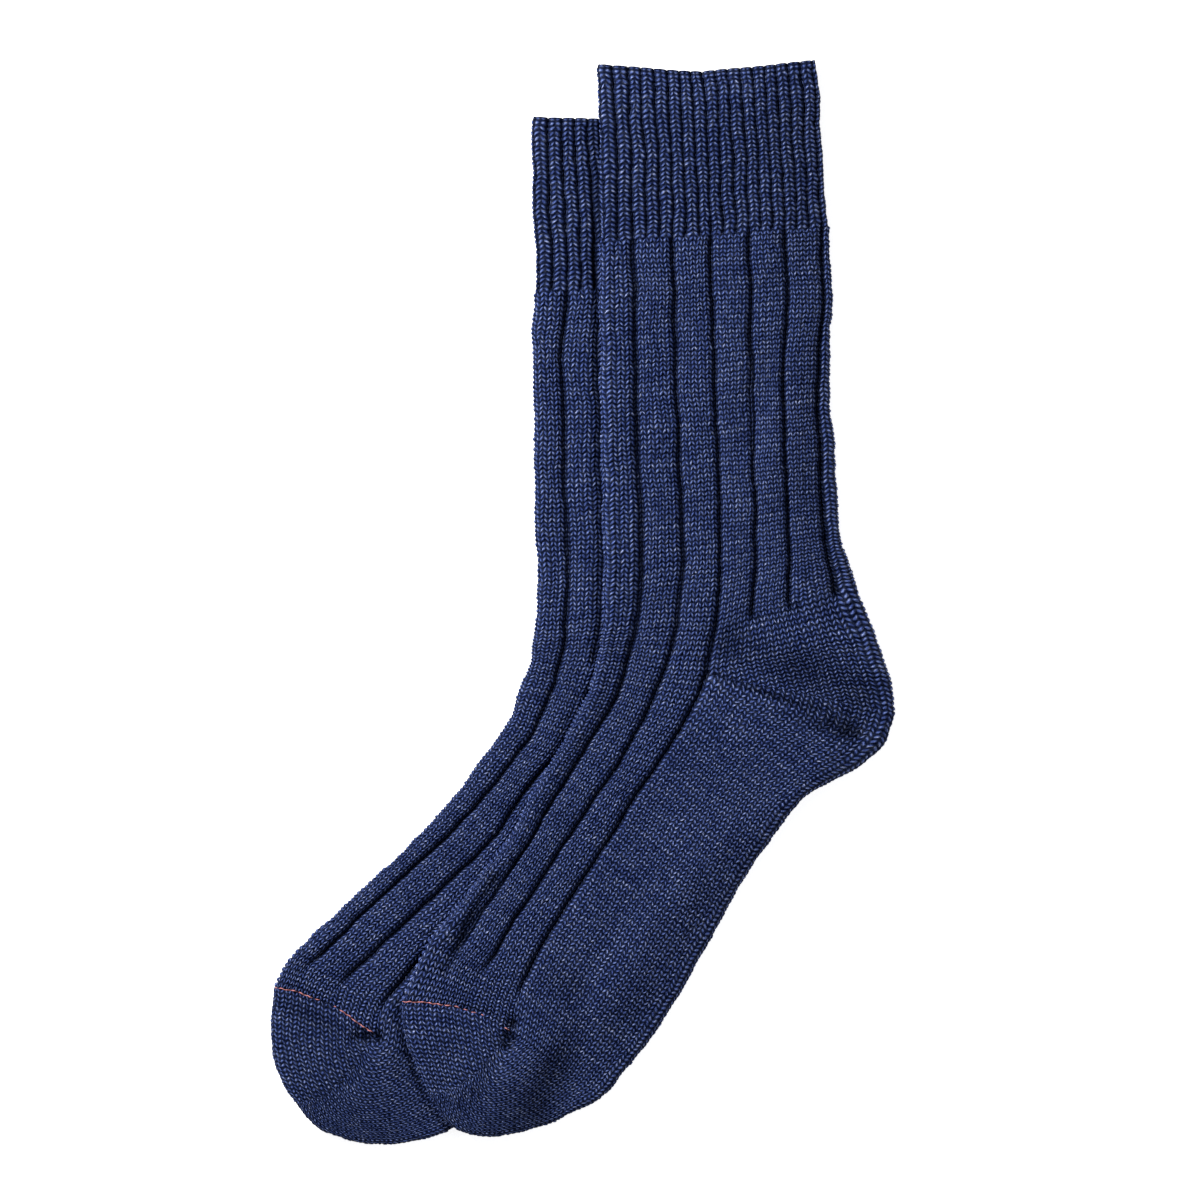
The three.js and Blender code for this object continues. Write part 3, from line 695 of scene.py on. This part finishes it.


# Marled yarn: navy wool and cotton plied with paler and near-black fibre, ring spun with a hard
# twist and knitted plain. The eye gets a small blue strand with a dull shine for each leg of a
# stitch, painted shade in the gaps round it, and now and then a lighter or darker row.
def marledYarn(name):
    yarn = dict(
        # the palest colour is partly pale fibre and partly painted glints, standing in for the yarn's shine
        colours=["#1c2856", "#3c4f90", "#667ab8", "#bcc4e6"],
        places=[0.2, 0.42, 0.62, 0.86],              # where each colour lies, from dark fibre to pale
        gapFrom=0.2, gapTo=0.95, gapShade=0.09,      # painted shade at a strand's edge, from its middle line out
        grooveShade=0.3,                             # painted shade: light left at the bottom of a purl wale or a dark crease
        twistLength=0.27,      # turns of the twist, in wales: 0.7 mm, a third coarser than real
        streakLength=14.0,     # rows change their shade about every 14 wales
        strandSpread=0.16, streakSpread=0.4, fibreSpread=1.5,      # how far each moves the colour
        twistDepth=0.25 * mm, strandDepth=0.6 * mm,
        rough=0.55, gloss=0.17,
    )
    material, tree = emptyMaterial(name)
    knit = addNode(tree, "UVMap", {"uv_map": "knit"}).outputs["UV"]
    legs = addNode(tree, "VectorMath", {"operation": "MULTIPLY", 1: (2, 1, 0)}, {0: knit})
    # each leg of a stitch has its own shade
    cell = addNode(tree, "VectorMath", {"operation": "FLOOR"}, {0: legs.outputs[0]})
    strandShade = addNode(tree, "TexWhiteNoise", {"noise_dimensions": "2D"}, {"Vector": cell.outputs[0]})
    rowPlace = addNode(tree, "VectorMath",
                       {"operation": "MULTIPLY", 1: (1 / yarn["streakLength"], 1, 0)}, {0: knit})
    rowShade = addNode(tree, "TexNoise", {"Scale": 1.0, "Detail": 2.0, "Roughness": 0.7},
                       {"Vector": rowPlace.outputs[0]})
    twistScale = (1 / yarn["twistLength"], 2.4, 1)
    fibrePlace = addNode(tree, "Mapping", {"Scale": twistScale, "Rotation": (0, 0, 0.6)},
                         {"Vector": knit})
    fibre = addNode(tree, "TexNoise", {"Scale": 1.0, "Detail": 3.0, "Roughness": 0.7},
                    {"Vector": fibrePlace.outputs[0]})
    own = addNode(tree, "Math",
                  {"operation": "MULTIPLY_ADD", 1: yarn["strandSpread"], 2: -yarn["strandSpread"] / 2},
                  {0: strandShade.outputs["Value"]})
    withRow = addNode(tree, "Math", {"operation": "MULTIPLY_ADD", 1: yarn["streakSpread"]},
                      {0: rowShade.outputs["Fac"], 2: own.outputs[0]})
    shade = addNode(tree, "Math", {"operation": "MULTIPLY_ADD", 1: yarn["fibreSpread"]},
                    {0: fibre.outputs["Fac"], 2: withRow.outputs[0]})
    centred = addNode(tree, "Math",
                      {"operation": "SUBTRACT", 1: (yarn["streakSpread"] + yarn["fibreSpread"]) / 2 - 0.5},
                      {0: shade.outputs[0]})
    ramp = addNode(tree, "ValToRGB", links={"Fac": centred.outputs[0]})
    stops = ramp.color_ramp.elements
    while len(stops) < len(yarn["places"]):
        stops.new(0.5)
    for stop, place, colour in zip(stops, yarn["places"], yarn["colours"]):
        stop.position = place
        stop.color = toLinear(colour)
    # how far out a place is from the middle line of its strand
    inLeg = addNode(tree, "VectorMath", {"operation": "FRACTION"}, {0: legs.outputs[0]})
    off = addNode(tree, "VectorMath", {"operation": "SUBTRACT", 1: (0.5, 0.5, 0)}, {0: inLeg.outputs[0]})
    offScaled = addNode(tree, "VectorMath", {"operation": "MULTIPLY", 1: (1.8, 2.0, 0)},
                        {0: off.outputs[0]})
    outward = addNode(tree, "VectorMath", {"operation": "LENGTH"}, {0: offScaled.outputs[0]})
    paintedGapShade = addNode(tree, "MapRange",
                  {"interpolation_type": "SMOOTHSTEP", "From Min": yarn["gapFrom"],
                   "From Max": yarn["gapTo"], "To Min": 1.0, "To Max": yarn["gapShade"]},
                  {"Value": outward.outputs["Value"]})
    hollow = addNode(tree, "Attribute", {"attribute_name": "hollow"})
    paintedDarkening = addNode(tree, "MapRange",
                     {"From Min": 0.15, "From Max": 0.85, "To Min": 1.0, "To Max": yarn["grooveShade"]},
                     {"Value": hollow.outputs["Fac"]})
    # painted shade multiplied into the colour: the strand's dark edge times the shade of grooves and creases
    light = addNode(tree, "Math", {"operation": "MULTIPLY"}, {0: paintedGapShade.outputs[0], 1: paintedDarkening.outputs[0]})
    shaded = addNode(tree, "VectorMath", {"operation": "SCALE"},
                     {0: ramp.outputs["Color"], "Scale": light.outputs[0]})
    strandForm = addNode(tree, "Bump", {"Strength": 1.0, "Distance": yarn["strandDepth"]},
                         {"Height": paintedGapShade.outputs[0]})
    twist = addNode(tree, "Bump", {"Strength": 1.0, "Distance": yarn["twistDepth"]},
                    {"Height": fibre.outputs["Fac"], "Normal": strandForm.outputs["Normal"]})
    # no gloss down in the gaps, where one strand hides the next
    shine = addNode(tree, "Math", {"operation": "MULTIPLY", 1: yarn["gloss"]}, {0: light.outputs[0]})
    shader = addNode(tree, "BsdfPrincipled", {"Roughness": yarn["rough"]},
                     {"Base Color": shaded.outputs[0], "Specular IOR Level": shine.outputs[0],
                      "Normal": twist.outputs["Normal"]})
    addNode(tree, "OutputMaterial", links={"Surface": shader.outputs[0]})
    return material


# Coral sewing thread, spun polyester with a little shine, fuzzy where it is cut.
def coralThread():
    material, tree = emptyMaterial("coralSpunThread")
    where = addNode(tree, "TexCoord").outputs["Object"]
    ply = addNode(tree, "TexNoise", {"Scale": 2500.0, "Detail": 2.0}, {"Vector": where})
    ramp = addNode(tree, "ValToRGB", links={"Fac": ply.outputs["Fac"]})
    for stop, place, colour in zip(ramp.color_ramp.elements, (0.3, 0.7), ("#8a4450", "#e08c88")):
        stop.position = place
        stop.color = toLinear(colour)
    shader = addNode(tree, "BsdfPrincipled", {"Roughness": 0.5, "Sheen Weight": 0.3},
                     {"Base Color": ramp.outputs["Color"]})
    addNode(tree, "OutputMaterial", links={"Surface": shader.outputs[0]})
    return material


backOutline = outlineOf(backSections, backToe)
# Soft troughs where the cloth turns or was laid: points along each, half width, depth in mm, and
# how dark the painted shade at its bottom gets. A negative depth is a ridge, and with no depth the cloth only
# gets painted shade.
frontFold, frontSide = pairs(frontSections, "fold"), pairs(frontSections, "side")
frontRidge = np.concatenate([frontFold * 0.935 + frontSide * 0.065, [(-63.4, -131.8), (-72.8, -148)]])
frontGroove = frontFold + 2 * column(frontSections, "groove1")[:, None] * (frontSide - frontFold)
frontCreases = [
    (frontRidge, 2.1, -0.9, 0),     # raised edge of the fold
    (frontGroove, 3.2, 0.5, 0.4),
    ([(42, -28.5), (58, -33.5), (73, -39.5), (84, -43)], 1.7, 1.5, 0.75),     # gore of the heel
    ([(44, -31.5), (58, -37), (74, -43.5), (84, -47.5)], 1.6, -0.6, 0),
    ([(87.5, -46), (95.5, -50)], 5.4, 4.0, 1),     # and the pit it ends in, in painted shade
    ([(79, -42), (98, -51)], 7.5, 0.8, 0.55),
    ([(50, -17), (66, -24), (82, -28), (99, -35)], 10.5, 1.6, 0.62),
    ([(45, -43), (64, -51), (82, -60)], 7, -0.6, 0),
    ([(59.7, -6.3), (59.9, -8)], 1.5, 1.1, 0.9),     # where the ribs of the leg end
    ([(74.9, -1.5), (75.2, -3.4)], 1.5, 1.1, 0.9),
    ([(89.7, 4.4), (90.3, 2.4)], 1.5, 1.1, 0.9),
    ([(66, 124), (64, 100), (60, 80), (57.5, 60)], 6, 1.2, 0.3),
    ([(67, 56), (66, 44)], 7, -1.0, 0),
    ([(31, 30), (30, 6), (27, -16)], 5, 0.6, 0),
    ([(-39.9, -105.5), (-46, -115), (-51.2, -125.8), (-56, -135), (-59.5, -140.5)], 2.6, 1.5, 0.85),
    ([(-75.6, -152), (-65, -153), (-52.4, -154.3), (-40, -157), (-34.2, -162)], 1.5, 0.8, 0.5),     # toe seam
    ([(-32.8, -160.5), (-35, -168.5)], 2.9, 3.2, 1),     # tuck at its end
    ([(-35, -169), (-42.5, -178), (-61, -184.5), (-67, -188)], 2.6, 0.5, 0.2),
    ([(-60, -174), (-38, -190)], 22, 0, 0.28),
    ([(-9, -148), (-11, -164), (-15, -180), (-21, -194)], 7.5, 2.2, 0.5),
    ([(-47, -183), (-32, -188)], 10, -1.3, 0),
    ([(-60, -160), (-46, -164)], 7, -0.7, 0),
    ([(9, -118), (4, -128), (-2, -137)], 6, 0.6, 0),
]
backCreases = [
    (frontFold[:11] + [[-1.8, 0]], 2.1, 0.8, 1),     # pressed in by the front sock's fold, with painted shadow under it
    (frontFold[16:19] + [[-2.4, 0]], 2.0, 0.5, 0.5),
    ([(-122.7, -146.7), (-114, -149), (-107, -152.4), (-96.9, -157.7), (-88.9, -163)], 1.5, 0.8, 0.5),
    ([(-91.5, -165.5), (-84, -166.5)], 2.8, 2.8, 1),
    ([(-86, -169), (-93, -181), (-105, -188), (-113, -191)], 2.6, 0.5, 0.2),
    ([(-115, -172), (-84, -190)], 28, 0, 0.34),
    ([(-121, -153), (-106, -160), (-90, -168)], 5, 0.8, 0.5),
    ([(-80, -160), (-76, -180), (-66, -196)], 6, 0.6, 0.42),
    ([(-100, -186), (-85, -195)], 10, -0.9, 0),
    ([(-76.8, -152), (-76.2, -161), (-74, -170), (-71, -178.5), (-66.8, -188), (-62.5, -195.5),
      (-56, -201.5)], 2.0, 0.7, 0.9),     # painted shadow under the front toe's edge
    ([(-17, 60), (-16, 30), (-18, 0)], 4.5, 0.6, 0),
    ([(-66, -116), (-76, -128)], 3, 0.5, 0.2),
]
backSock = describeSock("back", backSections, backToe, onTable, 4, backCreases, 0)
frontSock = describeSock("front", frontSections, frontToe, liftOverBack, 9, frontCreases, 19)

yarn = marledYarn("marledNavyYarn")
thread = coralThread()


def makeSock(sock):
    grids = knitSock(sock)
    cuffEnds, legEnds = sock["cuffCourses"], sock["legEnd"]
    mouth = [mouthPatch(sock, strip, grids[key], fromFold, under)
             for strip, key, fromFold, under in grids["mouth"]]
    instep, legBack, sole, toeTop = (grids[key] for key in ("instep", "legBack", "sole", "toeTop"))
    cuts = dict(
        cuff=mouth + [stretch(instep, 0, cuffEnds), stretch(legBack, 0, cuffEnds)],
        leg=[stretch(instep, cuffEnds, legEnds), stretch(legBack, cuffEnds, legEnds)],
        heel=[stretch(legBack, legEnds, 1e6), stretch(sole, -1e6, 0)],
        foot=[stretch(instep, legEnds, 1e6), stretch(sole, 0, sock["soleCourses"])],
        toe=[stretch(sole, sock["soleCourses"], 1e6), stretch(toeTop, -1e6, 1e6)],
    )
    made = []
    for part, patches in cuts.items():
        piece = clothPiece(f"{sock['name']}_{part}", patches, yarn)
        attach(piece, "root")
        made.append(piece)
        print(piece.name, len(piece.data.polygons) * 2, "triangles")
    for piece in made:
        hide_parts(f"{sock['name']}_sock")
    return grids


backGrids = makeSock(backSock)
frontGrids = makeSock(frontSock)
print("socks knitted")


# The linking thread, weaving in and out of the seam from the fold to the tuck.
def seamThread(name, grids, shown):
    toeTop = grids["toeTop"]
    face = toeTop["under"] > 0
    line = toeTop["points"][0][face]
    run = np.concatenate([[0], np.cumsum(np.linalg.norm(np.diff(line, axis=0), axis=1))])
    seam = dict(radius=0.24, stitch=3.4, rise=0.4, sway=0.22, sides=6, step=0.22)
    at = np.arange(0, run[-1], seam["step"])
    path = np.stack([np.interp(at, run, line[:, k]) for k in range(3)], 1)
    share = at / run[-1]
    height = np.interp(share, *shown)
    path[:, 2] += height + seam["rise"] * np.sin(at / seam["stitch"] * 2 * pi + wander(at, at, 9, 3))
    path[:, 1] += seam["sway"] * wander(at, at, 5, 8)
    along = np.gradient(path, axis=0)
    along /= np.linalg.norm(along, axis=1, keepdims=True)
    sideways = np.cross(along, [0, 0, 1])
    upward = np.cross(sideways, along)
    turns = np.linspace(0, 2 * pi, seam["sides"], endpoint=False)
    rings = (path[:, None] + seam["radius"] * (sideways[:, None] * np.cos(turns)[None, :, None]
                                               + upward[:, None] * np.sin(turns)[None, :, None]))
    rings[..., :2] -= pairMiddle
    points = (rings.reshape(-1, 3) * mm).tolist()
    sides = seam["sides"]
    starts = [r * sides for r in range(len(path) - 1)]
    faces = [(s + k, s + (k + 1) % sides, s + sides + (k + 1) % sides, s + sides + k)
             for s in starts for k in range(sides)]
    faces += [tuple(range(sides))[::-1], tuple(range(len(points) - sides, len(points)))]
    mesh = bpy.data.meshes.new(name)
    mesh.from_pydata(points, [], faces)
    mesh.polygons.foreach_set("use_smooth", [True] * len(mesh.polygons))
    mesh.materials.append(thread)
    piece = bpy.data.objects.new(name, mesh)
    bpy.context.collection.objects.link(piece)
    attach(piece, "root")
    return piece


# shares along each seam, and how high in mm the thread lies there: below 0 the knit hides it
frontShown = ([0, 0.08, 0.12, 0.3, 0.5, 0.72, 0.84, 0.93, 0.97, 1],
              [1, 0.9, 0.35, 0.3, -0.1, -0.35, -1, -1, 0.9, 1])
backShown = ([0, 0.1, 0.2, 0.32, 0.4, 0.5, 0.62, 0.72, 0.95, 1],
             [0, 0.35, 0.2, 0.4, -0.3, -0.6, -0.2, 0.3, 0.4, -0.5])
seamThread("front_toe_seam", frontGrids, frontShown)
seamThread("back_toe_seam", backGrids, backShown)
print("toe seams linked")

# Plain pale table, soft studio light from the upper left, camera straight above.
studio = dict(
    table=9.0, tableColour="#f7f7f7", tableGlow=0.76,
    cameraHeight=3.0, sensor=36.0, frameWidth=0.456,
    keyPlace=(-1.1, 0.95, 1.0), keySize=0.4, keyPower=56.0,
    fillPlace=(0.9, -0.5, 1.5), fillSize=1.4, fillPower=5.0,
    world=0.2,
)
bpy.ops.mesh.primitive_plane_add(size=studio["table"], location=(0, 0, -0.0002))
table = bpy.context.object
table.name = "table"
paint = bpy.data.materials.new("opalAcrylicLightTable")      # lit from below, so shadows stay pale
paint.use_nodes = True
paintInputs = paint.node_tree.nodes["Principled BSDF"].inputs
paintInputs["Base Color"].default_value = toLinear(studio["tableColour"])
paintInputs["Roughness"].default_value = 0.9
paintInputs["Emission Color"].default_value = (1, 1, 1, 1)
paintInputs["Emission Strength"].default_value = studio["tableGlow"]
table.data.materials.append(paint)


def softLight(name, place, size, power):
    light = bpy.data.lights.new(name, "AREA")
    light.size, light.energy = size, power
    lamp = bpy.data.objects.new(name, light)
    lamp.location = place
    lamp.rotation_mode = "QUATERNION"
    lamp.rotation_quaternion = (-Vector(place)).to_track_quat("-Z", "Y")
    bpy.context.collection.objects.link(lamp)


softLight("keyLight", studio["keyPlace"], studio["keySize"], studio["keyPower"])
softLight("fillLight", studio["fillPlace"], studio["fillSize"], studio["fillPower"])
world = bpy.data.worlds.new("studioAir")
bpy.context.scene.world = world
world.use_nodes = True
world.node_tree.nodes["Background"].inputs["Color"].default_value = (1, 1, 1, 1)
world.node_tree.nodes["Background"].inputs["Strength"].default_value = studio["world"]

cameraData = bpy.data.cameras.new("camera")
cameraData.sensor_width = studio["sensor"]
cameraData.lens = studio["sensor"] * studio["cameraHeight"] / studio["frameWidth"]
camera = bpy.data.objects.new("camera", cameraData)
camera.location = (-pairMiddle[0] * mm, -pairMiddle[1] * mm, studio["cameraHeight"])
bpy.context.collection.objects.link(camera)
bpy.context.scene.camera = camera
bpy.context.scene.view_settings.view_transform = "Standard"
print("studio set")
